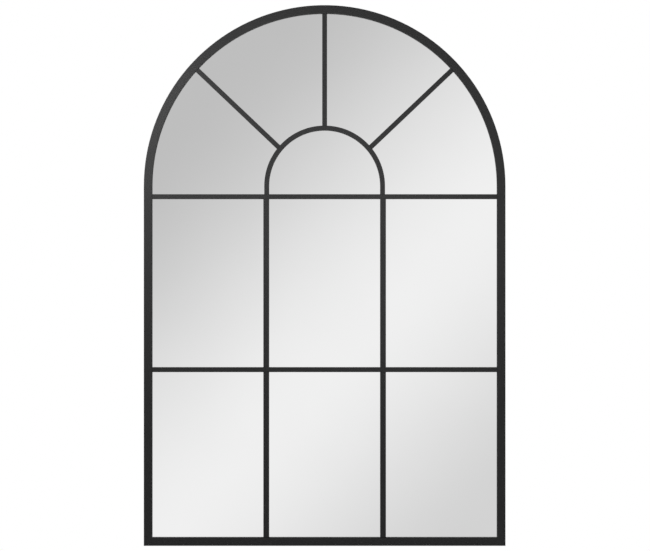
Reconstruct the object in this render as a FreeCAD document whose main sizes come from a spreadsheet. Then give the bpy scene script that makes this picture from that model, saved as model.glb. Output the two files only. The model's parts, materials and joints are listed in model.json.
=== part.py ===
import FreeCAD, Part
import math
import os
import Sketcher
from FreeCAD import Placement, Rotation, Vector

# Arched window mirror, hung on a wall by two keyhole hangers on the back of its frame.
# Row frame: +X to the viewer's right, +Z up, the viewer stands on the -Y side.
# The origin is midway between the two keyholes, in the plane of the hangers' back faces.

# Driving dimensions in millimetres, angles in degrees.
SIZES = {
    # Outer frame, a steel tube with a rebate behind its face for the glass and the board
    "overall_width": 600.0,
    "overall_height": 897.0,
    "frame_face": 14.0,
    "rebate_width": 3.0,
    "tube_wall": 1.2,
    "tube_corner": 1.2,
    # Grid bars, flush with the front of the frame
    "bar_depth": 10.0,
    "bar_edge": 0.5,
    "muntin_width": 8.0,
    "mullion_width": 9.5,
    "transom_drop": 17.7,
    "lower_bar_height": 292.2,
    "spoke_angle": 43.5,
    "fan_drop": 8.0,
    # What lies behind the grid
    "tape_thickness": 1.0,
    "tape_width": 5.0,
    "tape_inset": 3.0,
    "glass_thickness": 4.0,
    "board_thickness": 5.0,
    "glass_gap": 1.0,
    # Pressed steel hangers on the back of the stiles, each with a keyhole in its raised middle
    "keyhole_drop": 40.0,
    "keyhole_entry": 8.5,
    "keyhole_slot": 4.5,
    "keyhole_rise": 9.0,
    "hanger_width": 14.0,
    "hanger_edge": 0.5,
    "hanger_thickness": 1.5,
    "hanger_room": 4.5,
    "hanger_below": 9.0,
    "hanger_above": 17.0,
    "hanger_slant": 2.5,
    "hanger_foot": 10.0,
    # Turn buttons that hold the backing board; those on the arch are placed by their angle from its crown
    "button_width": 10.0,
    "button_thickness": 1.2,
    "button_overlap": 16.0,
    "button_play": 0.1,
    "button_low_height": 150.0,
    "button_high_drop": 170.0,
    "rail_button_offset": 150.0,
    "arch_button_upper": 24.0,
    "arch_button_lower": 66.0,
    # Pan-head screws of the turn buttons and hangers
    "screw_diameter": 3.5,
    "screw_fit": 0.05,
    "screw_length": 8.0,
    "screw_point": 2.5,
    "head_diameter": 7.0,
    "head_height": 2.2,
    "head_rim": 0.8,
    "recess_span": 3.6,
    "recess_width": 0.9,
    "recess_depth": 1.2,
    # Rubber bumpers between the frame and the wall
    "bumper_diameter": 7.5,
    "bumper_taper": 0.6,
    "bumper_round": 0.8,
    "wall_clearance": 0.8,
    "bumper_inset": 40.0,
    "arch_bumper_angle": 45.0,
}

# Lengths that follow from the driving dimensions.
ARCH_RADIUS = "(Sizes.overall_width / 2)"
SIDE_HEIGHT = "(Sizes.overall_height - Sizes.overall_width / 2)"
REBATE_DEPTH = "(Sizes.tape_thickness + Sizes.glass_thickness + Sizes.board_thickness)"
HANGER_HEIGHT = "(Sizes.hanger_room + Sizes.hanger_thickness)"
FRAME_BACK = f"(-{HANGER_HEIGHT})"
TUBE_LEVEL = f"({FRAME_BACK} - {REBATE_DEPTH} / 2)"
TAPE_FRONT = f"({FRAME_BACK} - {REBATE_DEPTH})"
BAR_MIDDLE = f"({TAPE_FRONT} - Sizes.bar_depth / 2)"
TAPE_BACK = f"({TAPE_FRONT} + Sizes.tape_thickness)"
GLASS_BACK = f"({FRAME_BACK} - Sizes.board_thickness)"
INNER_WIDTH = "(Sizes.overall_width - 2 * Sizes.frame_face)"
INNER_RADIUS = f"({INNER_WIDTH} / 2)"
BACK_WIDTH = "(Sizes.frame_face - Sizes.rebate_width)"
BACK_RADIUS = f"({ARCH_RADIUS} - {BACK_WIDTH} / 2)"
SHEET_RADIUS = f"({ARCH_RADIUS} - {BACK_WIDTH} - Sizes.glass_gap)"
HANGER_PLACE = f"({ARCH_RADIUS} - Sizes.hanger_edge - Sizes.hanger_width / 2)"
PANE_WIDTH = f"(({INNER_WIDTH} - 2 * Sizes.mullion_width) / 3)"
FAN_INNER = f"({PANE_WIDTH} / 2)"
FAN_OUTER = f"({FAN_INNER} + Sizes.muntin_width)"
FAN_MIDDLE = f"({FAN_INNER} + Sizes.muntin_width / 2)"
SPRING_LINE = "Sizes.keyhole_drop"
BOTTOM = f"({SPRING_LINE} - {SIDE_HEIGHT})"
RAIL_HEIGHT = f"({BOTTOM} + {BACK_WIDTH} / 2)"
TRANSOM_MIDDLE = f"({SPRING_LINE} - Sizes.transom_drop)"
LOWER_BAR_MIDDLE = f"({BOTTOM} + Sizes.lower_bar_height)"
BUTTON_REACH = f"({BACK_WIDTH} / 2 + Sizes.glass_gap + Sizes.button_overlap)"
BUTTON_FRONT = f"({FRAME_BACK} + Sizes.button_play)"
BUTTON_SCREW_SEAT = f"({BUTTON_FRONT} + Sizes.button_thickness + Sizes.button_play)"
HANGER_SCREW_SEAT = f"({FRAME_BACK} + Sizes.hanger_thickness)"
HANGER_SCREW_HEIGHTS = [
    "(-(Sizes.hanger_below + Sizes.hanger_slant + Sizes.hanger_foot / 2))",
    "(Sizes.hanger_above + Sizes.hanger_slant + Sizes.hanger_foot / 2)",
]
SCREW_HOLE = "(Sizes.screw_diameter / 2 + Sizes.screw_fit)"
SPOKE_TAPE_INSET = "(2 * Sizes.tape_inset)"
LEFT_TURN = "(Sizes.spoke_angle - 90)"
RIGHT_TURN = "(90 - Sizes.spoke_angle)"
SPOKE_ASIDE = "(Sizes.fan_drop * cos(Sizes.spoke_angle))"
MULLION_LENGTHS = {
    "lower": (
        f"({BOTTOM} + Sizes.frame_face)",
        "(Sizes.lower_bar_height - Sizes.muntin_width / 2 - Sizes.frame_face)",
    ),
    "upper": (
        f"({LOWER_BAR_MIDDLE} + Sizes.muntin_width / 2)",
        f"({TRANSOM_MIDDLE} - {LOWER_BAR_MIDDLE} - Sizes.muntin_width)",
    ),
}

QUARTER_TURN = 90
HALF_TURN = 180
FULL_TURN = 360
QUARTER = math.radians(QUARTER_TURN)

doc = FreeCAD.newDocument("window_mirror")
sheet = doc.addObject("Spreadsheet::Sheet", "Sizes")
for row, (alias, size) in enumerate(SIZES.items(), start=1):
    sheet.set(f"A{row}", str(size))
    sheet.setAlias(f"A{row}", alias)
doc.recompute()

nodes = []


def number(formula):
    """The value of a formula in the sheet's sizes."""
    return float(sheet.evalExpression(formula))


def bind(thing, prop, formula):
    thing.setExpression(prop, formula)


def place(thing, x="0", y="0", z="0", turn=None):
    """Put a piece at (x, y, z), turned about +Y by the angle that turn gives."""
    if turn is not None:
        thing.Placement = Placement(Vector(0, 0, 0), Rotation(Vector(0, 1, 0), number(turn)))
        bind(thing, "Placement.Rotation.Angle", turn)
    bind(thing, "Placement.Base.x", x)
    bind(thing, "Placement.Base.y", y)
    bind(thing, "Placement.Base.z", z)


def new_body(label):
    body = doc.addObject("PartDesign::Body", label)
    body.Label = label
    return body


def keep(thing):
    """Hand in this object as a node of the mirror."""
    nodes.append(thing)
    return thing


def new_sketch(body, name, plane, height=None):
    """A sketch on one of the body's own planes, raised along its normal by height."""
    sketch = body.newObject("Sketcher::SketchObject", f"{body.Name}_{name}")
    origin_plane = next(item for item in body.Origin.OriginFeatures if item.Role == plane)
    sketch.AttachmentSupport = [(origin_plane, "")]
    sketch.MapMode = "FlatFace"
    if height is not None:
        bind(sketch, "AttachmentOffset.Base.z", height)
    return sketch


def dimension(sketch, name, formula, *what):
    """A named dimension of a sketch, bound to a formula."""
    index = sketch.addConstraint(Sketcher.Constraint(*what, number(formula)))
    sketch.renameConstraint(index, name)
    bind(sketch, f"Constraints.{name}", formula)


def line(sketch, start, end):
    return sketch.addGeometry(Part.LineSegment(Vector(*start, 0), Vector(*end, 0)), False)


def arc(sketch, centre, radius, start, end):
    """An arc from the angle start to the angle end, in quarter turns, anticlockwise."""
    circle_line = Part.Circle(Vector(*centre, 0), Vector(0, 0, 1), radius)
    return sketch.addGeometry(Part.ArcOfCircle(circle_line, start * QUARTER, end * QUARTER), False)


def circle(sketch, name, radius, x=None, y=None):
    """A circle about the sketch's origin, or about (x, y)."""
    centre = Vector(number(x or "0"), number(y or "0"), 0)
    index = sketch.addGeometry(Part.Circle(centre, Vector(0, 0, 1), number(radius)), False)
    dimension(sketch, f"{name}_radius", radius, "Radius", index)
    if x is None and y is None:
        sketch.addConstraint(Sketcher.Constraint("Coincident", index, 3, -1, 1))
        return
    pin_point(sketch, name, index, 3, x, y)


def pin_point(sketch, name, geometry, end, x, y):
    """Fix one point of the sketch at (x, y); None keeps it on that axis."""
    if x is None:
        sketch.addConstraint(Sketcher.Constraint("PointOnObject", geometry, end, -2))
    else:
        dimension(sketch, f"{name}_x", x, "DistanceX", -1, 1, geometry, end)
    if y is None:
        sketch.addConstraint(Sketcher.Constraint("PointOnObject", geometry, end, -1))
    else:
        dimension(sketch, f"{name}_y", y, "DistanceY", -1, 1, geometry, end)


def polygon(sketch, name, corners):
    """A closed outline with straight sides; each corner is a pair of formulas, or None on an axis."""
    points = [(number(x or "0"), number(y or "0")) for x, y in corners]
    sides = [line(sketch, point, points[(i + 1) % len(points)]) for i, point in enumerate(points)]
    for i, side in enumerate(sides):
        following = sides[(i + 1) % len(sides)]
        sketch.addConstraint(Sketcher.Constraint("Coincident", side, 2, following, 1))
        pin_point(sketch, f"{name}_{i}", side, 1, *corners[i])


def square_outline(sketch, name, corners, radius):
    """A closed outline of level and upright sides; each corner is (x, y, whether it is rounded)."""
    points = [Vector(number(x), number(y), 0) for x, y, rounded in corners]
    area = sum(a.x * b.y - b.x * a.y for a, b in zip(points, points[1:] + points[:1]))
    if area < 0:
        corners = corners[::-1]
        points = points[::-1]
    ahead = [(points[(i + 1) % len(points)] - point).normalize() for i, point in enumerate(points)]
    cut_back = [number(radius) if rounded else 0.0 for x, y, rounded in corners]
    sides = []
    for i, (x, y, rounded) in enumerate(corners):
        following = (i + 1) % len(corners)
        start = points[i] + ahead[i] * cut_back[i]
        end = points[following] - ahead[i] * cut_back[following]
        sides.append(line(sketch, (start.x, start.y), (end.x, end.y)))
        if abs(ahead[i].x) > abs(ahead[i].y):
            sketch.addConstraint(Sketcher.Constraint("Horizontal", sides[i]))
            dimension(sketch, f"{name}_level_{i}", y, "DistanceY", -1, 1, sides[i], 1)
        else:
            sketch.addConstraint(Sketcher.Constraint("Vertical", sides[i]))
            dimension(sketch, f"{name}_upright_{i}", x, "DistanceX", -1, 1, sides[i], 1)
    for i, (x, y, rounded) in enumerate(corners):
        if rounded:
            centre = points[i] + (ahead[i] - ahead[i - 1]) * cut_back[i]
            heading = round(math.atan2(-ahead[i].y, -ahead[i].x) / QUARTER)
            bend = arc(sketch, (centre.x, centre.y), cut_back[i], heading, heading + 1)
            sketch.addConstraint(Sketcher.Constraint("Tangent", sides[i - 1], 2, bend, 1))
            sketch.addConstraint(Sketcher.Constraint("Tangent", bend, 2, sides[i], 1))
            dimension(sketch, f"{name}_round_{i}", radius, "Radius", bend)
        else:
            sketch.addConstraint(Sketcher.Constraint("Coincident", sides[i - 1], 2, sides[i], 1))


def bar_section(sketch, wide, tall, centre="0"):
    """A solid bar's section with eased edges, its middle at centre along the sketch's x axis."""
    left = f"({centre} - {wide} / 2)"
    right = f"({centre} + {wide} / 2)"
    low = f"(-{tall} / 2)"
    high = f"({tall} / 2)"
    corners = [(left, low, True), (right, low, True), (right, high, True), (left, high, True)]
    square_outline(sketch, "bar", corners, "Sizes.bar_edge")


def tube_corners(outer, inward, inset):
    """The corners of the rebated tube as (across, deep) pairs, drawn in from its faces by inset.

    Across starts at the outer face and goes inwards. Deep is nought midway along the rebate.
    """
    outside = f"({outer} + {inward} * {inset})"
    lip = f"({outer} + {inward} * (Sizes.frame_face - {inset}))"
    rebate = f"({outer} + {inward} * ({BACK_WIDTH} - {inset}))"
    front = f"({inset} - {REBATE_DEPTH} / 2 - Sizes.bar_depth)"
    lip_back = f"(-{inset} - {REBATE_DEPTH} / 2)"
    back = f"({REBATE_DEPTH} / 2 - {inset})"
    return [
        (outside, front), (lip, front), (lip, lip_back),
        (rebate, lip_back), (rebate, back), (outside, back),
    ]


def tube_section(sketch, outer, inward, lying=False):
    """The frame's rebated tube: rounded at its front and outer corners, square inside."""
    skin = tube_corners(outer, inward, "0")
    bore = tube_corners(outer, inward, "Sizes.tube_wall")
    if lying:
        skin = [(deep, across) for across, deep in skin]
        bore = [(deep, across) for across, deep in bore]
    bends = [True, True, False, False, False, True]
    skin_corners = [(x, y, bent) for (x, y), bent in zip(skin, bends)]
    bore_corners = [(x, y, False) for x, y in bore]
    square_outline(sketch, "skin", skin_corners, "Sizes.tube_corner")
    square_outline(sketch, "bore", bore_corners, "Sizes.tube_corner")


def pad(body, name, sketch, length, symmetric=False, reverse=False):
    feature = body.newObject("PartDesign::Pad", f"{body.Name}_{name}")
    feature.Profile = sketch
    if symmetric:
        feature.SideType = "Symmetric"
    feature.Reversed = reverse
    bind(feature, "Length", length)
    return feature


def revolve(body, name, sketch, angle, reverse=False):
    """Turn a profile about the sketch's upright axis."""
    feature = body.newObject("PartDesign::Revolution", f"{body.Name}_{name}")
    feature.Profile = sketch
    feature.ReferenceAxis = (sketch, ["V_Axis"])
    feature.Angle = angle
    feature.Reversed = reverse
    return feature


def cut(body, name, sketch, depth=None, symmetric=False, reverse=False):
    """A pocket that goes right through, or to the given depth, and has to take something away."""
    doc.recompute()
    before = body.Shape.Volume
    feature = body.newObject("PartDesign::Pocket", f"{body.Name}_{name}")
    feature.Profile = sketch
    feature.Reversed = reverse
    if symmetric:
        feature.SideType = "Symmetric"
    if depth is None:
        feature.Type = "ThroughAll"
    else:
        bind(feature, "Length", depth)
    doc.recompute()
    if not body.Shape.Volume < before:
        raise RuntimeError(f"{feature.Name} cuts nothing")
    return feature


def back_wall_holes(body, holes):
    """Round screw holes at (x, z) places, through the back wall of the frame or a hanger's feet."""
    sketch = new_sketch(body, "screw_hole_sketch", "XZ_Plane")
    for i, (x, z) in enumerate(holes):
        circle(sketch, f"hole_{i}", SCREW_HOLE, x, z)
    cut(body, "screw_holes", sketch)


def make_stile(label, sign):
    """A straight side of the frame: mitred foot, and screw holes in its back wall."""
    body = keep(new_body(label))
    outer = f"({sign} * {BACK_WIDTH} / 2)"
    inner = f"({sign} * ({BACK_WIDTH} / 2 - Sizes.frame_face))"
    profile = new_sketch(body, "tube_sketch", "XY_Plane")
    tube_section(profile, outer, f"(-{sign})")
    pad(body, "tube", profile, SIDE_HEIGHT)

    foot = new_sketch(body, "mitre_sketch", "XZ_Plane")
    polygon(foot, "foot", [(outer, None), (inner, None), (inner, "Sizes.frame_face")])
    cut(body, "mitre", foot, symmetric=True)

    entry_height = f"({SIDE_HEIGHT} - Sizes.keyhole_drop)"
    heights = ["Sizes.button_low_height", f"({SIDE_HEIGHT} - Sizes.button_high_drop)"]
    heights += [f"({entry_height} + {height})" for height in HANGER_SCREW_HEIGHTS]
    back_wall_holes(body, [(None, height) for height in heights])
    place(body, f"({sign} * {BACK_RADIUS})", TUBE_LEVEL, BOTTOM)


def make_hanger(label, sign):
    """A pressed steel strip: two feet on the stile, and a raised middle with room for a screw head."""
    body = keep(new_body(label))
    profile = new_sketch(body, "strip_sketch", "YZ_Plane")
    thick = "Sizes.hanger_thickness"
    room = "Sizes.hanger_room"
    slope = f"sqrt({room} ^ 2 + Sizes.hanger_slant ^ 2)"
    shift = f"({thick} * ({slope} - Sizes.hanger_slant) / {room})"
    low = "(-Sizes.hanger_below)"
    high = "Sizes.hanger_above"
    low_foot = f"({low} - Sizes.hanger_slant)"
    high_foot = f"({high} + Sizes.hanger_slant)"
    low_end = f"({low_foot} - Sizes.hanger_foot)"
    high_end = f"({high_foot} + Sizes.hanger_foot)"
    polygon(profile, "strip", [
        (None, low_end), (thick, low_end),
        (thick, f"({low_foot} - {shift})"), (HANGER_HEIGHT, f"({low} - {shift})"),
        (HANGER_HEIGHT, f"({high} + {shift})"), (thick, f"({high_foot} + {shift})"),
        (thick, high_end), (None, high_end),
        (None, high_foot), (room, high),
        (room, low), (None, low_foot),
    ])
    pad(body, "strip", profile, "Sizes.hanger_width", symmetric=True)
    entry = new_sketch(body, "keyhole_entry_sketch", "XZ_Plane")
    circle(entry, "entry", "(Sizes.keyhole_entry / 2)")
    cut(body, "keyhole_entry", entry)
    slot = new_sketch(body, "keyhole_slot_sketch", "XZ_Plane")
    upright_slot(slot)
    cut(body, "keyhole_slot", slot)
    aside = f"({sign} * ({BACK_RADIUS} - {HANGER_PLACE}))"
    back_wall_holes(body, [(aside, height) for height in HANGER_SCREW_HEIGHTS])
    place(body, f"({sign} * {HANGER_PLACE})", FRAME_BACK)


def upright_slot(sketch):
    """The keyhole's narrow slot: square in the entry hole, round at the top where the screw hangs."""
    half = number("Sizes.keyhole_slot") / 2
    top = number("Sizes.keyhole_rise")
    low = line(sketch, (-half, 0), (half, 0))
    far = line(sketch, (half, 0), (half, top))
    crown = arc(sketch, (0, top), half, 0, 2)
    near = line(sketch, (-half, top), (-half, 0))
    sketch.addConstraint(Sketcher.Constraint("Coincident", low, 2, far, 1))
    sketch.addConstraint(Sketcher.Constraint("Tangent", far, 2, crown, 1))
    sketch.addConstraint(Sketcher.Constraint("Tangent", crown, 2, near, 1))
    sketch.addConstraint(Sketcher.Constraint("Coincident", near, 2, low, 1))
    sketch.addConstraint(Sketcher.Constraint("Vertical", far))
    sketch.addConstraint(Sketcher.Constraint("Vertical", near))
    sketch.addConstraint(Sketcher.Constraint("PointOnObject", low, 1, -1))
    sketch.addConstraint(Sketcher.Constraint("PointOnObject", low, 2, -1))
    sketch.addConstraint(Sketcher.Constraint("PointOnObject", crown, 3, -2))
    dimension(sketch, "slot_half", "(Sizes.keyhole_slot / 2)", "Radius", crown)
    dimension(sketch, "slot_rise", "Sizes.keyhole_rise", "DistanceY", far, 1, far, 2)


def make_bottom_rail():
    """The bottom of the frame, mitred at both ends."""
    body = keep(new_body("bottom_rail"))
    outer = f"(-{BACK_WIDTH} / 2)"
    inner = f"({outer} + Sizes.frame_face)"
    profile = new_sketch(body, "tube_sketch", "YZ_Plane")
    tube_section(profile, outer, "1", lying=True)
    pad(body, "tube", profile, "Sizes.overall_width", symmetric=True)

    ends = new_sketch(body, "mitre_sketch", "XZ_Plane")
    for name, sign in (("left", "-1"), ("right", "1")):
        end = f"({sign} * {ARCH_RADIUS})"
        polygon(ends, name, [(end, outer), (f"({sign} * {INNER_RADIUS})", inner), (end, inner)])
    cut(body, "mitres", ends, symmetric=True)

    back_wall_holes(body, [("(-Sizes.rail_button_offset)", None), ("Sizes.rail_button_offset", None)])
    place(body, "0", TUBE_LEVEL, RAIL_HEIGHT)


def on_arch(angle):
    """The middle of the arch's back wall at an angle from the crown, positive to the right."""
    return f"({BACK_RADIUS} * sin({angle}))", f"({BACK_RADIUS} * cos({angle}))"


def arch_angles(*names):
    """Each named angle to the left and to the right of the crown."""
    return [f"({sign} * Sizes.{name})" for name in names for sign in ("-1", "1")]


def make_arch_head():
    body = keep(new_body("arch_head"))
    profile = new_sketch(body, "tube_sketch", "XY_Plane")
    tube_section(profile, ARCH_RADIUS, "-1")
    revolve(body, "tube", profile, HALF_TURN, reverse=True)
    button_angles = arch_angles("arch_button_upper", "arch_button_lower")
    back_wall_holes(body, [on_arch(angle) for angle in button_angles])
    place(body, "0", TUBE_LEVEL, SPRING_LINE)


def make_cross_bar(label, height):
    """A bar right across the frame, between the inner walls of the stiles."""
    body = keep(new_body(label))
    profile = new_sketch(body, "bar_sketch", "YZ_Plane")
    bar_section(profile, "Sizes.bar_depth", "Sizes.muntin_width")
    pad(body, "bar", profile, INNER_WIDTH, symmetric=True)
    place(body, "0", BAR_MIDDLE, height)


def make_mullion(label, sign, foot, length):
    """A length of upright bar between two members that run across."""
    body = keep(new_body(label))
    profile = new_sketch(body, "bar_sketch", "XY_Plane")
    bar_section(profile, "Sizes.mullion_width", "Sizes.bar_depth")
    pad(body, "bar", profile, length)
    place(body, f"({sign} * ({PANE_WIDTH} + Sizes.mullion_width) / 2)", BAR_MIDDLE, foot)


def make_inner_arch():
    """The small half-round bar, whose short legs stand on the transom."""
    body = keep(new_body("inner_arch"))
    bow = new_sketch(body, "bow_sketch", "XY_Plane")
    bar_section(bow, "Sizes.muntin_width", "Sizes.bar_depth", FAN_MIDDLE)
    revolve(body, "bow", bow, HALF_TURN, reverse=True)
    leg = new_sketch(body, "leg_sketch", "XY_Plane")
    bar_section(leg, "Sizes.muntin_width", "Sizes.bar_depth", FAN_MIDDLE)
    leg_length = "(Sizes.transom_drop - Sizes.muntin_width / 2)"
    right_leg = pad(body, "right_leg", leg, leg_length, reverse=True)
    doc.recompute()
    both_legs = body.newObject("PartDesign::Mirrored", "inner_arch_left_leg")
    both_legs.Originals = [right_leg]
    both_legs.MirrorPlane = (leg, ["V_Axis"])
    body.Tip = both_legs
    place(body, "0", BAR_MIDDLE, SPRING_LINE)


def make_spoke(label, turn, aside="0"):
    """A fan bar with its ends cut round to fit the inner arch and the arch head.

    It runs up from the centre of the arches, moved aside by the given amount, and is then turned.
    """
    body = keep(new_body(label))
    profile = new_sketch(body, "bar_sketch", "XY_Plane")
    bar_section(profile, "Sizes.muntin_width", "Sizes.bar_depth", aside)
    pad(body, "bar", profile, ARCH_RADIUS)
    inner_end = new_sketch(body, "inner_end_sketch", "XZ_Plane")
    circle(inner_end, "inner_end", FAN_OUTER)
    cut(body, "inner_end", inner_end, symmetric=True)
    outer_end = new_sketch(body, "outer_end_sketch", "XZ_Plane")
    circle(outer_end, "outer_end", INNER_RADIUS)
    circle(outer_end, "beyond", f"({ARCH_RADIUS} + Sizes.frame_face)")
    cut(body, "outer_end", outer_end, symmetric=True)
    place(body, "0", BAR_MIDDLE, SPRING_LINE, turn)


def make_arched_sheet(label, thickness, back):
    """A sheet cut to the frame's rebate, standing on the bottom rail with a gap at its sides."""
    body = keep(new_body(label))
    outline = new_sketch(body, "outline_sketch", "XZ_Plane")
    side_formula = f"({SIDE_HEIGHT} - {BACK_WIDTH} - Sizes.glass_gap)"
    radius = number(SHEET_RADIUS)
    side = number(side_formula)
    low = line(outline, (-radius, -side), (radius, -side))
    far = line(outline, (radius, -side), (radius, 0))
    crown = arc(outline, (0, 0), radius, 0, 2)
    near = line(outline, (-radius, 0), (-radius, -side))
    outline.addConstraint(Sketcher.Constraint("Coincident", low, 2, far, 1))
    outline.addConstraint(Sketcher.Constraint("Tangent", far, 2, crown, 1))
    outline.addConstraint(Sketcher.Constraint("Tangent", crown, 2, near, 1))
    outline.addConstraint(Sketcher.Constraint("Coincident", near, 2, low, 1))
    outline.addConstraint(Sketcher.Constraint("Horizontal", low))
    outline.addConstraint(Sketcher.Constraint("Vertical", far))
    outline.addConstraint(Sketcher.Constraint("Vertical", near))
    outline.addConstraint(Sketcher.Constraint("Coincident", crown, 3, -1, 1))
    dimension(outline, "crown_radius", SHEET_RADIUS, "Radius", crown)
    dimension(outline, "side", side_formula, "DistanceY", far, 1, far, 2)
    pad(body, "sheet", outline, thickness)
    place(body, "0", back, f"({SPRING_LINE} - Sizes.glass_gap)")


def tape_strip(name, wide, tall, x, z):
    """A straight strip of foam tape of that width and height, with its middle at (x, z)."""
    strip = doc.addObject("Part::Box", name)
    bind(strip, "Length", wide)
    bind(strip, "Width", "Sizes.tape_thickness")
    bind(strip, "Height", tall)
    place(strip, f"{x} - {wide} / 2", TAPE_FRONT, f"{z} - {tall} / 2")
    return strip


def spoke_tape(name, turn, aside="0"):
    """The strip behind a fan bar, turned with it about the centre of the arches."""
    length = f"({INNER_RADIUS} - {FAN_OUTER} - 2 * {SPOKE_TAPE_INSET})"
    start = f"({FAN_OUTER} + {SPOKE_TAPE_INSET})"
    side = f"({aside} - Sizes.tape_width / 2)"
    strip = doc.addObject("Part::Box", name)
    bind(strip, "Length", "Sizes.tape_width")
    bind(strip, "Width", "Sizes.tape_thickness")
    bind(strip, "Height", length)
    x = f"({side} * cos({turn}) + {start} * sin({turn}))"
    z = f"({SPRING_LINE} - {side} * sin({turn}) + {start} * cos({turn}))"
    place(strip, x, TAPE_FRONT, z, turn)
    return strip


def arch_tape(name, inside, outside):
    """A half ring of tape about the centre of the arches."""
    outer = doc.addObject("Part::Cylinder", f"{name}_outside")
    inner = doc.addObject("Part::Cylinder", f"{name}_inside")
    outer.Angle = HALF_TURN
    for cylinder, radius in ((outer, outside), (inner, inside)):
        bind(cylinder, "Radius", radius)
        bind(cylinder, "Height", "Sizes.tape_thickness")
        cylinder.Placement = Placement(Vector(0, 0, 0), Rotation(Vector(1, 0, 0), QUARTER_TURN))
        bind(cylinder, "Placement.Base.y", TAPE_BACK)
        bind(cylinder, "Placement.Base.z", SPRING_LINE)
    ring = doc.addObject("Part::Cut", name)
    ring.Base = outer
    ring.Tool = inner
    return ring


def bar_tapes():
    """The strips behind the grid bars."""
    across = f"({INNER_WIDTH} - 2 * Sizes.tape_inset)"
    half = "Sizes.tape_width / 2"
    strips = [
        tape_strip("transom_tape", across, "Sizes.tape_width", "0", TRANSOM_MIDDLE),
        tape_strip("lower_bar_tape", across, "Sizes.tape_width", "0", LOWER_BAR_MIDDLE),
        arch_tape("inner_arch_tape", f"({FAN_MIDDLE} - {half})", f"({FAN_MIDDLE} + {half})"),
        spoke_tape("centre_spoke_tape", "0"),
        spoke_tape("left_spoke_tape", LEFT_TURN, f"(-{SPOKE_ASIDE})"),
        spoke_tape("right_spoke_tape", RIGHT_TURN, SPOKE_ASIDE),
    ]
    for side, sign in (("left", "-1"), ("right", "1")):
        x = f"({sign} * ({PANE_WIDTH} + Sizes.mullion_width) / 2)"
        for level, (foot, length) in MULLION_LENGTHS.items():
            name = f"{side}_{level}_mullion_tape"
            shorter = f"({length} - 2 * Sizes.tape_inset)"
            middle = f"({foot} + {length} / 2)"
            strips.append(tape_strip(name, "Sizes.tape_width", shorter, x, middle))
    return strips


def edge_tapes():
    """The narrow strips between the frame's lip and the rim of the glass."""
    wide = "(Sizes.rebate_width - Sizes.glass_gap)"
    lip_height = f"({SIDE_HEIGHT} - Sizes.frame_face)"
    lip_middle = f"({SPRING_LINE} - {lip_height} / 2)"
    sill = f"({BOTTOM} + Sizes.frame_face - {wide} / 2)"
    strips = [
        tape_strip("sill_tape", INNER_WIDTH, wide, "0", sill),
        arch_tape("arch_head_tape", INNER_RADIUS, f"({INNER_RADIUS} + {wide})"),
    ]
    for side, sign in (("left", "-1"), ("right", "1")):
        x = f"({sign} * ({INNER_RADIUS} + {wide} / 2))"
        strips.append(tape_strip(f"{side}_stile_tape", wide, lip_height, x, lip_middle))
    return strips


def compound(label, pieces):
    group = doc.addObject("Part::Compound", label)
    group.Label = label
    group.Links = pieces
    return group


def make_turn_button(label, x, z, turn):
    """A flat steel tongue with round ends that swings on its screw."""
    body = keep(new_body(label))
    outline = new_sketch(body, "tongue_sketch", "XZ_Plane")
    half = number("Sizes.button_width") / 2
    span_formula = f"({BUTTON_REACH} - Sizes.button_width / 2)"
    span = number(span_formula)
    tip = arc(outline, (span, 0), half, -1, 1)
    high = line(outline, (span, half), (0, half))
    tail = arc(outline, (0, 0), half, 1, 3)
    low = line(outline, (0, -half), (span, -half))
    loop = [tip, high, tail, low]
    for i, piece in enumerate(loop):
        outline.addConstraint(Sketcher.Constraint("Tangent", piece, 2, loop[(i + 1) % len(loop)], 1))
    outline.addConstraint(Sketcher.Constraint("Coincident", tail, 3, -1, 1))
    outline.addConstraint(Sketcher.Constraint("PointOnObject", tip, 3, -1))
    outline.addConstraint(Sketcher.Constraint("Equal", tail, tip))
    dimension(outline, "half_width", "(Sizes.button_width / 2)", "Radius", tail)
    dimension(outline, "span", span_formula, "DistanceX", tail, 3, tip, 3)
    circle(outline, "pivot", SCREW_HOLE)
    pad(body, "tongue", outline, "Sizes.button_thickness", reverse=True)
    place(body, x, BUTTON_FRONT, z, turn)


def make_screw(name, x, seat, z):
    """A pan-head screw with a cross recess: head on the seat, point in the hollow of the frame."""
    body = new_body(name)
    profile = new_sketch(body, "profile_sketch", "XY_Plane")
    head = "(Sizes.head_diameter / 2)"
    shank = "(Sizes.screw_diameter / 2)"
    shank_end = "(Sizes.screw_point - Sizes.screw_length)"
    crown = f"({head} - (Sizes.head_height - Sizes.head_rim))"
    polygon(profile, "profile", [
        (None, "(-Sizes.screw_length)"),
        (shank, shank_end),
        (shank, None),
        (head, None),
        (head, "Sizes.head_rim"),
        (crown, "Sizes.head_height"),
        (None, "Sizes.head_height"),
    ])
    revolve(body, "turned", profile, FULL_TURN)
    cross = new_sketch(body, "recess_sketch", "XZ_Plane", "(-Sizes.head_height)")
    arm = "(Sizes.recess_span / 2)"
    half = "(Sizes.recess_width / 2)"
    back_arm = f"(-{arm})"
    back_half = f"(-{half})"
    polygon(cross, "cross", [
        (half, half), (half, arm), (back_half, arm), (back_half, half),
        (back_arm, half), (back_arm, back_half), (back_half, back_half), (back_half, back_arm),
        (half, back_arm), (half, back_half), (arm, back_half), (arm, half),
    ])
    cut(body, "recess", cross, "Sizes.recess_depth", reverse=True)
    place(body, x, seat, z)
    return body


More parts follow.
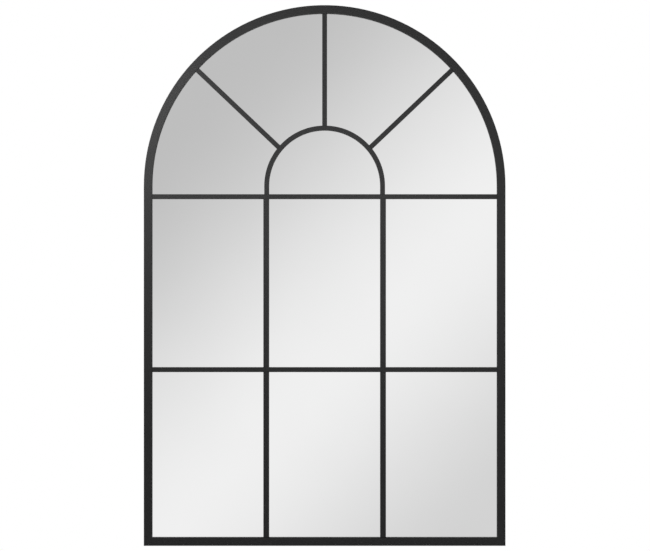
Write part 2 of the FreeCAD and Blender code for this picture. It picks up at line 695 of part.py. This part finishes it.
def make_bumper(name, x, z):
    """A tapered rubber pad that stands on the back of the frame."""
    body = new_body(name)
    height = f"({HANGER_HEIGHT} + Sizes.wall_clearance)"
    base = "(Sizes.bumper_diameter / 2)"
    top = f"({base} - Sizes.bumper_taper)"
    profile = new_sketch(body, "profile_sketch", "XY_Plane")
    polygon(profile, "profile", [
        (None, None),
        (base, None),
        (top, f"({height} - Sizes.bumper_round)"),
        (f"({top} - Sizes.bumper_round)", height),
        (None, height),
    ])
    revolve(body, "moulded", profile, FULL_TURN)
    place(body, x, FRAME_BACK, z)
    return body


def button_places():
    """Every turn button: its name, where its screw is, and the turn that points it inwards."""
    high = f"({SPRING_LINE} - Sizes.button_high_drop)"
    low = f"({BOTTOM} + Sizes.button_low_height)"
    places = []
    for side, sign, turn in (("left", "-1", "0"), ("right", "1", "180")):
        stile = f"({sign} * {BACK_RADIUS})"
        places.append((f"{side}_low_turn_button", stile, low, turn))
        places.append((f"{side}_high_turn_button", stile, high, turn))
        rail_place = f"({sign} * Sizes.rail_button_offset)"
        places.append((f"{side}_rail_turn_button", rail_place, RAIL_HEIGHT, "-90"))
        for level in ("upper", "lower"):
            angle = f"({sign} * Sizes.arch_button_{level})"
            x, rise = on_arch(angle)
            label = f"{side}_{level}_arch_turn_button"
            places.append((label, x, f"({SPRING_LINE} + {rise})", f"(90 + {angle})"))
    return places


def bumper_places():
    places = [(f"({sign} * ({ARCH_RADIUS} - Sizes.bumper_inset))", RAIL_HEIGHT) for sign in ("-1", "1")]
    for angle in arch_angles("arch_bumper_angle"):
        x, rise = on_arch(angle)
        places.append((x, f"({SPRING_LINE} + {rise})"))
    return places


def check_document():
    """Stop unless every object was computed and every node is whole."""
    for thing in doc.Objects:
        if "Invalid" in thing.State or "Error" in thing.State:
            raise RuntimeError(f"{thing.Name} failed: {thing.State}")
    for node in nodes:
        if node.Shape.isNull() or not node.Shape.isValid() or not node.Shape.Solids:
            raise RuntimeError(f"{node.Label} has no valid solid")


make_stile("left_stile", "-1")
make_stile("right_stile", "1")
make_arch_head()
make_bottom_rail()

make_cross_bar("transom_bar", TRANSOM_MIDDLE)
make_cross_bar("lower_bar", LOWER_BAR_MIDDLE)
for side, sign in (("left", "-1"), ("right", "1")):
    for level, (foot, length) in MULLION_LENGTHS.items():
        make_mullion(f"{side}_{level}_mullion", sign, foot, length)
make_inner_arch()
make_spoke("centre_spoke", "0")
make_spoke("left_spoke", LEFT_TURN, f"(-{SPOKE_ASIDE})")
make_spoke("right_spoke", RIGHT_TURN, SPOKE_ASIDE)

keep(compound("foam_tape", bar_tapes() + edge_tapes()))
make_arched_sheet("mirror_glass", "Sizes.glass_thickness", GLASS_BACK)
make_arched_sheet("backing_board", "Sizes.board_thickness", FRAME_BACK)

button_screws = []
for label, x, z, turn in button_places():
    make_turn_button(label, x, z, turn)
    button_screws.append(make_screw(f"{label}_screw", x, BUTTON_SCREW_SEAT, z))
keep(compound("turn_button_screws", button_screws))
hanger_screws = []
for side, sign in (("left", "-1"), ("right", "1")):
    make_hanger(f"{side}_hanger", sign)
    for i, height in enumerate(HANGER_SCREW_HEIGHTS):
        x = f"({sign} * {BACK_RADIUS})"
        hanger_screws.append(make_screw(f"{side}_hanger_screw_{i}", x, HANGER_SCREW_SEAT, height))
keep(compound("hanger_screws", hanger_screws))
bumpers = [make_bumper(f"bumper_{i}", x, z) for i, (x, z) in enumerate(bumper_places())]
keep(compound("wall_bumpers", bumpers))

doc.recompute()
check_document()
os.makedirs("parts", exist_ok=True)
for node in nodes:
    node.Shape.exportStep(os.path.join("parts", f"{node.Label}.step"))
    print(node.Label, len(node.Shape.Solids), round(node.Shape.Volume, 1))
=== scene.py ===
import json

import bpy
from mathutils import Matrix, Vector


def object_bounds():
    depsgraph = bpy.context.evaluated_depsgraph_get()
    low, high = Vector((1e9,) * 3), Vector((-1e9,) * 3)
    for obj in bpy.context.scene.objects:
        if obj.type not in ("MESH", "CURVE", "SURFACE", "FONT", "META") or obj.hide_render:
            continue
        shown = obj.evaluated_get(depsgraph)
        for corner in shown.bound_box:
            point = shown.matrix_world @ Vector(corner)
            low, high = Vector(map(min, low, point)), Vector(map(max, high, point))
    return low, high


# Arched window mirror: looks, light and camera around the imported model, in metres.
# +X is the viewer's right, +Z is up, and the viewer stands on the -Y side.

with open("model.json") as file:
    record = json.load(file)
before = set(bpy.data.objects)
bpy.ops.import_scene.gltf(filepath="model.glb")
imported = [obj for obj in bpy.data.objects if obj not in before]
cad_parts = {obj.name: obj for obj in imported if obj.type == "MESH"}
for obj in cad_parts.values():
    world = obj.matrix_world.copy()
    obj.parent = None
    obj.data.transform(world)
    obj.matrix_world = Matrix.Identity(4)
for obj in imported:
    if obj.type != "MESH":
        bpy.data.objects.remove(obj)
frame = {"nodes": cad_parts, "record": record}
cad_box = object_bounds()
low_corner, high_corner = cad_box

# Camera: the photograph's width in pixels, its scale at the mirror's front face and its sideways shift
IMAGE_WIDTH = 650
METRES_PER_PIXEL = 0.0016586
PHOTO_SHIFT = 0.0006
SENSOR_WIDTH = 36.0
CAMERA_DISTANCE = 9.0

# Floor: how far it lies below the mirror, and its reach, which keeps it out of the view from the front
FLOOR_DROP = 0.25
FLOOR_BEHIND = 4.3
FLOOR_AHEAD = 4.5
FLOOR_SIDE = 5.0

# The floor's glow near the mirror and at its rim, and the distances between which it rises
FLOOR_GLOW = 0.22
RIM_GLOW = 0.85
MIRRORED_RIM_GLOW = 0.4
FADE_START = 1.2
FADE_END = 4.2

# The room that the mirror shows: soft diagonal bands of grey, in parts of a unit direction
BAND_START = -0.0573
BAND_LENGTH = 0.19
BAND_STOPS = [(0.0, 0.55), (0.4, 0.925), (0.7, 0.69), (1.0, 0.55)]
AMBIENT = 0.06

# Noise seldom leaves this range, so colours and roughness are spread over it
NOISE_RANGE = (0.3, 0.7)

# The glass is silvered where its surface faces along Y by more than this
FACING_LIMIT = 0.5

# The two lamps beside the mirror stand this far from its middle
SIDE_LAMP_REACH = 2.2


def grey(level):
    """A neutral colour."""
    return (level, level, level)


WHITE = grey(1.0)


def opaque(colour):
    """The colour with full cover, as sockets and ramps take it."""
    return (*colour, 1.0)


def new_material(name):
    """A material, with its node tree and its shader."""
    material = bpy.data.materials.new(name)
    material.use_nodes = True
    tree = material.node_tree
    shader = tree.nodes["Principled BSDF"]
    return material, tree, shader


def add_node(tree, kind, **settings):
    """A node with the given properties."""
    node = tree.nodes.new(kind)
    for key, value in settings.items():
        setattr(node, key, value)
    return node


def feed(tree, value, socket):
    """Give a socket either another node's output or a plain value."""
    if isinstance(value, bpy.types.NodeSocket):
        tree.links.new(value, socket)
    else:
        socket.default_value = value


def calculate(tree, operation, *values):
    """A calculation on numbers and other nodes' outputs."""
    node = add_node(tree, "ShaderNodeMath", operation=operation)
    for value, socket in zip(values, node.inputs):
        feed(tree, value, socket)
    return node.outputs["Value"]


def map_range(tree, value, start, end, low, high, interpolation="LINEAR"):
    """The range from start to end mapped to the range from low to high."""
    node = add_node(tree, "ShaderNodeMapRange", interpolation_type=interpolation)
    feed(tree, value, node.inputs["Value"])
    feed(tree, start, node.inputs["From Min"])
    feed(tree, end, node.inputs["From Max"])
    feed(tree, low, node.inputs["To Min"])
    feed(tree, high, node.inputs["To Max"])
    return node.outputs["Result"]


def mix_shaders(tree, factor, first, second):
    """The first shader where the factor is 0, the second where it is 1."""
    node = add_node(tree, "ShaderNodeMixShader")
    for value, socket in zip((factor, first, second), node.inputs):
        tree.links.new(value, socket)
    return node.outputs["Shader"]


def mix_colours(tree, factor, first, second, blend="MIX"):
    """Two colours, with the second laid over the first by the factor."""
    node = add_node(tree, "ShaderNodeMix", data_type="RGBA", blend_type=blend)
    feed(tree, factor, node.inputs["Factor"])
    tree.links.new(first, node.inputs["A"])
    tree.links.new(second, node.inputs["B"])
    return node.outputs["Result"]


def multiply(tree, first, second):
    """The product of two colours."""
    return mix_colours(tree, 1.0, first, second, "MULTIPLY")


def object_coordinates(tree):
    """The place on the object, in metres."""
    return add_node(tree, "ShaderNodeTexCoord").outputs["Object"]


def noise(tree, cells, detail=4.0, roughness=0.5, along=None):
    """Noise of so many cells to the metre, or that number times a factor along each axis."""
    vector = object_coordinates(tree)
    if along is not None:
        mapping = add_node(tree, "ShaderNodeMapping")
        mapping.inputs["Scale"].default_value = along
        tree.links.new(vector, mapping.inputs["Vector"])
        vector = mapping.outputs["Vector"]
    texture = add_node(tree, "ShaderNodeTexNoise")
    texture.inputs["Scale"].default_value = cells
    texture.inputs["Detail"].default_value = detail
    texture.inputs["Roughness"].default_value = roughness
    tree.links.new(vector, texture.inputs["Vector"])
    return texture.outputs["Fac"]


def ramp(tree, factor, stops, interpolation="LINEAR"):
    """Colours along a factor; each stop is (place, colour)."""
    node = add_node(tree, "ShaderNodeValToRGB")
    node.color_ramp.interpolation = interpolation
    elements = node.color_ramp.elements
    while len(elements) < len(stops):
        elements.new(1.0)
    for element, (place, colour) in zip(elements, stops):
        element.position = place
        element.color = opaque(colour)
    tree.links.new(factor, node.inputs["Fac"])
    return node.outputs["Color"]


def shades(tree, factor, dark, light):
    """Colours from dark to light as a noise rises."""
    return ramp(tree, factor, list(zip(NOISE_RANGE, (dark, light))))


def spread(tree, factor, low, high):
    """Values from low to high as a noise rises."""
    return map_range(tree, factor, *NOISE_RANGE, low, high)


def bump(tree, shader, height, depth):
    """Relief of the given depth in metres."""
    node = add_node(tree, "ShaderNodeBump")
    node.inputs["Strength"].default_value = 1.0
    node.inputs["Distance"].default_value = depth
    tree.links.new(height, node.inputs["Height"])
    tree.links.new(node.outputs["Normal"], shader.inputs["Normal"])


def powder_coat():
    """Matte charcoal powder coat on steel, with a fine orange peel."""
    material, tree, shader = new_material("black_powder_coat")
    patches = noise(tree, cells=18.0, detail=3.0)
    peel = noise(tree, cells=1300.0, detail=3.0)
    colour = shades(tree, patches, dark=(0.0245, 0.0245, 0.0247), light=(0.0275, 0.0275, 0.0277))
    tree.links.new(colour, shader.inputs["Base Color"])
    tree.links.new(spread(tree, peel, low=0.44, high=0.6), shader.inputs["Roughness"])
    shader.inputs["Specular IOR Level"].default_value = 0.18
    bump(tree, shader, peel, depth=0.00005)
    return material


def glass_faces(tree):
    """One on the front and back of the glass, zero on its cut edges."""
    geometry = add_node(tree, "ShaderNodeNewGeometry")
    normal = add_node(tree, "ShaderNodeSeparateXYZ")
    tree.links.new(geometry.outputs["Normal"], normal.inputs["Vector"])
    facing = calculate(tree, "ABSOLUTE", normal.outputs["Y"])
    return calculate(tree, "GREATER_THAN", facing, FACING_LIMIT)


def mirror_glass():
    """Silvered float glass: a clear mirror on its faces, sea green on its cut edges."""
    material, tree, shader = new_material("silvered_glass")
    on_face = glass_faces(tree)
    haze = noise(tree, cells=6.0, detail=3.0)
    silver = shades(tree, haze, dark=grey(0.93), light=grey(0.944))
    edge = shades(tree, noise(tree, cells=300.0), dark=(0.12, 0.3, 0.24), light=(0.2, 0.42, 0.35))
    tree.links.new(mix_colours(tree, on_face, edge, silver), shader.inputs["Base Color"])
    tree.links.new(on_face, shader.inputs["Metallic"])
    tree.links.new(spread(tree, haze, low=0.004, high=0.012), shader.inputs["Roughness"])
    return material


def fibreboard():
    """Raw fibreboard: matted pale-brown fibres with darker flecks, a little patchy."""
    material, tree, shader = new_material("raw_fibreboard")
    fibres = noise(tree, cells=1000.0, detail=6.0, roughness=0.65, along=(1.0, 1.0, 0.4))
    flecks = noise(tree, cells=380.0, detail=4.0, roughness=0.6, along=(1.0, 1.0, 0.55))
    patches = noise(tree, cells=9.0)
    fleck_colour = (0.82, 0.79, 0.75)
    fine = shades(tree, fibres, dark=(0.33, 0.215, 0.125), light=(0.47, 0.33, 0.207))
    specks = ramp(tree, flecks, [(0.5, WHITE), (0.72, fleck_colour)])
    broad = shades(tree, patches, dark=(0.9, 0.88, 0.86), light=WHITE)
    colour = multiply(tree, multiply(tree, fine, specks), broad)
    tree.links.new(colour, shader.inputs["Base Color"])
    tree.links.new(spread(tree, fibres, low=0.72, high=0.88), shader.inputs["Roughness"])
    shader.inputs["Specular IOR Level"].default_value = 0.25
    bump(tree, shader, fibres, depth=0.0001)
    return material


def zinc_steel():
    """Bright zinc plate, brushed crossways, with cloudy spangle."""
    material, tree, shader = new_material("zinc_plated_steel")
    brushed = noise(tree, cells=420.0, detail=5.0, roughness=0.6, along=(1.0, 1.0, 6.0))
    cloud = noise(tree, cells=90.0, detail=3.0)
    colour = shades(tree, cloud, dark=(0.45, 0.46, 0.48), light=(0.6, 0.61, 0.63))
    tree.links.new(colour, shader.inputs["Base Color"])
    shader.inputs["Metallic"].default_value = 1.0
    tree.links.new(spread(tree, brushed, low=0.26, high=0.44), shader.inputs["Roughness"])
    bump(tree, shader, brushed, depth=0.00003)
    return material


def bumper_rubber():
    """Black moulded rubber, dusty in patches, with fine pores."""
    material, tree, shader = new_material("moulded_rubber")
    pores = noise(tree, cells=1400.0, detail=3.0)
    dust = noise(tree, cells=160.0)
    clean_colour = grey(0.014)
    dusty_colour = (0.035, 0.034, 0.033)
    colour = ramp(tree, dust, [(0.35, clean_colour), (0.75, dusty_colour)])
    tree.links.new(colour, shader.inputs["Base Color"])
    tree.links.new(spread(tree, dust, low=0.62, high=0.82), shader.inputs["Roughness"])
    shader.inputs["Specular IOR Level"].default_value = 0.3
    bump(tree, shader, pores, depth=0.00006)
    return material


def closed_cell_foam():
    """Black closed-cell foam tape with small bubbles."""
    material, tree, shader = new_material("foam_tape_black")
    cells = add_node(tree, "ShaderNodeTexVoronoi")
    cells.inputs["Scale"].default_value = 1500.0
    tree.links.new(object_coordinates(tree), cells.inputs["Vector"])
    from_middle = cells.outputs["Distance"]
    bubble_colour = grey(0.03)
    wall_colour = grey(0.012)
    colour = ramp(tree, from_middle, [(0.0, bubble_colour), (0.6, wall_colour)])
    tree.links.new(colour, shader.inputs["Base Color"])
    shader.inputs["Roughness"].default_value = 0.85
    bump(tree, shader, from_middle, depth=0.0001)
    return material


def floor_glow(tree):
    """A glow that rises with the distance from the object, so that the floor's rim is lost in the white.

    Only rays that show the floor see it. In reflections it rises less, because the room round it is grey.
    """
    rays = add_node(tree, "ShaderNodeLightPath").outputs
    direct = calculate(tree, "MAXIMUM", rays["Is Camera Ray"], rays["Is Transmission Ray"])
    seen = calculate(tree, "MAXIMUM", direct, rays["Is Glossy Ray"])
    less = calculate(tree, "MULTIPLY", rays["Is Glossy Ray"], MIRRORED_RIM_GLOW - RIM_GLOW)
    rim = calculate(tree, "ADD", less, RIM_GLOW)
    away = add_node(tree, "ShaderNodeVectorMath", operation="LENGTH")
    tree.links.new(object_coordinates(tree), away.inputs[0])
    glow = map_range(tree, away.outputs["Value"], FADE_START, FADE_END, FLOOR_GLOW, rim, "SMOOTHSTEP")
    return calculate(tree, "MULTIPLY", glow, seen)


def clear_underside(tree, shader):
    """Leave the surface clear from below, so that the floor hides nothing there."""
    from_below = add_node(tree, "ShaderNodeNewGeometry").outputs["Backfacing"]
    clear = add_node(tree, "ShaderNodeBsdfTransparent").outputs["BSDF"]
    surface = mix_shaders(tree, from_below, shader.outputs["BSDF"], clear)
    tree.links.new(surface, tree.nodes["Material Output"].inputs["Surface"])


def pale_floor():
    """Plain pale studio floor, faintly mottled, with its glow."""
    material, tree, shader = new_material("studio_floor")
    mottle = noise(tree, cells=3.0)
    colour = shades(tree, mottle, dark=grey(0.83), light=grey(0.87))
    tree.links.new(colour, shader.inputs["Base Color"])
    shader.inputs["Roughness"].default_value = 0.8
    shader.inputs["Emission Color"].default_value = opaque(WHITE)
    tree.links.new(floor_glow(tree), shader.inputs["Emission Strength"])
    clear_underside(tree, shader)
    return material


def dress_nodes():
    """Give every CAD node the material of its slot in the record."""
    finishes = {
        "black_coat": powder_coat(),
        "mirror": mirror_glass(),
        "fibreboard": fibreboard(),
        "zinc_steel": zinc_steel(),
        "bumper_rubber": bumper_rubber(),
        "foam": closed_cell_foam(),
    }
    for part in frame["record"]["subparts"]:
        node = frame["nodes"][part["node"]]
        for material_slot in node.material_slots:
            material_slot.material = finishes[part["material_slot"]]


def add_object(name, data):
    """A new object in the scene."""
    item = bpy.data.objects.new(name, data)
    bpy.context.scene.collection.objects.link(item)
    return item


def make_floor():
    """One flat sheet below the mirror."""
    level = low_corner.z - FLOOR_DROP
    corners = [
        (-FLOOR_SIDE, -FLOOR_AHEAD, level),
        (FLOOR_SIDE, -FLOOR_AHEAD, level),
        (FLOOR_SIDE, FLOOR_BEHIND, level),
        (-FLOOR_SIDE, FLOOR_BEHIND, level),
    ]
    mesh = bpy.data.meshes.new("floor")
    mesh.from_pydata(corners, [], [(0, 1, 2, 3)])
    mesh.materials.append(pale_floor())
    floor = add_object("floor", mesh)


def room_bands(tree):
    """Grey bands that repeat along X less Z of a ray's direction."""
    direction = add_node(tree, "ShaderNodeSeparateXYZ")
    tree.links.new(add_node(tree, "ShaderNodeTexCoord").outputs["Generated"], direction.inputs["Vector"])
    diagonal = calculate(tree, "SUBTRACT", direction.outputs["X"], direction.outputs["Z"])
    past_start = calculate(tree, "SUBTRACT", diagonal, BAND_START)
    bands = calculate(tree, "DIVIDE", past_start, BAND_LENGTH)
    place = calculate(tree, "FRACT", bands)
    stops = [(at, grey(level)) for at, level in BAND_STOPS]
    return ramp(tree, place, stops, "EASE")


def background(tree, colour):
    """A world shader of one colour, or of another node's colours."""
    node = add_node(tree, "ShaderNodeBackground")
    feed(tree, colour, node.inputs["Color"])
    return node.outputs["Background"]


def make_world():
    """White behind the object, soft grey bands in reflections, and an even fill for everything else."""
    world = bpy.data.worlds.new("studio")
    world.use_nodes = True
    bpy.context.scene.world = world
    tree = world.node_tree
    tree.nodes.clear()
    rays = add_node(tree, "ShaderNodeLightPath").outputs
    fill = background(tree, opaque(grey(AMBIENT)))
    bands = background(tree, room_bands(tree))
    white = background(tree, opaque(WHITE))
    lighting = mix_shaders(tree, rays["Is Glossy Ray"], fill, bands)
    direct = calculate(tree, "MAXIMUM", rays["Is Camera Ray"], rays["Is Transmission Ray"])
    output = add_node(tree, "ShaderNodeOutputWorld")
    tree.links.new(mix_shaders(tree, direct, lighting, white), output.inputs["Surface"])


def pointing(direction):
    """The turn that points a lamp or a camera along a direction."""
    return direction.to_track_quat("-Z", "Y").to_euler()


def area_lamp(name, place, aim, diameter, watts):
    """A round soft lamp that shows neither to the camera nor in a gloss."""
    lamp = bpy.data.lights.new(name, "AREA")
    lamp.shape = "DISK"
    lamp.size = diameter
    lamp.energy = watts
    lamp_object = add_object(name, lamp)
    lamp_object.location = place
    lamp_object.rotation_euler = pointing(Vector(aim) - Vector(place))
    lamp_object.visible_glossy = False
    lamp_object.visible_camera = False


def front_lamp(name, across, ahead, height, diameter, watts):
    """A lamp in front of the mirror, square on to it."""
    area_lamp(name, (across, -ahead, height), (across, 0.0, height), diameter, watts)


def overhead_light():
    """Even soft light straight down, which lights the floor and hardly the upright faces."""
    sun = bpy.data.lights.new("overhead", "SUN")
    sun.energy = 0.95
    sun.angle = 0.6
    sun_object = add_object("overhead", sun)
    sun_object.visible_glossy = False


def make_lamps():
    """Two small lamps close in front, which shade the frame as photographed, and wide ones round it."""
    front_lamp("key", across=-0.48, ahead=0.34, height=0.24, diameter=0.2, watts=3.6)
    front_lamp("fill", across=0.1, ahead=0.5, height=0.05, diameter=0.4, watts=1.7)
    area_lamp("back", place=(0.8, 2.0, 1.0), aim=(0.0, 0.0, -0.1), diameter=1.0, watts=32.0)
    for name, across in (("left", -SIDE_LAMP_REACH), ("right", SIDE_LAMP_REACH)):
        area_lamp(name, place=(across, 0.1, 0.5), aim=(0.0, 0.1, -0.1), diameter=1.2, watts=6.0)
    overhead_light()


def make_camera():
    """Square on to the mirror and far off, as in the photograph."""
    camera = bpy.data.cameras.new("camera")
    camera.sensor_width = SENSOR_WIDTH
    camera.lens = SENSOR_WIDTH * CAMERA_DISTANCE / (IMAGE_WIDTH * METRES_PER_PIXEL)
    camera_object = add_object("camera", camera)
    middle = (low_corner + high_corner) / 2
    camera_object.location = (middle.x + PHOTO_SHIFT, low_corner.y - CAMERA_DISTANCE, middle.z)
    camera_object.rotation_euler = pointing(Vector((0.0, 1.0, 0.0)))
    bpy.context.scene.camera = camera_object


dress_nodes()
make_floor()
make_world()
make_lamps()
make_camera()
bpy.context.scene.view_settings.view_transform = "Standard"
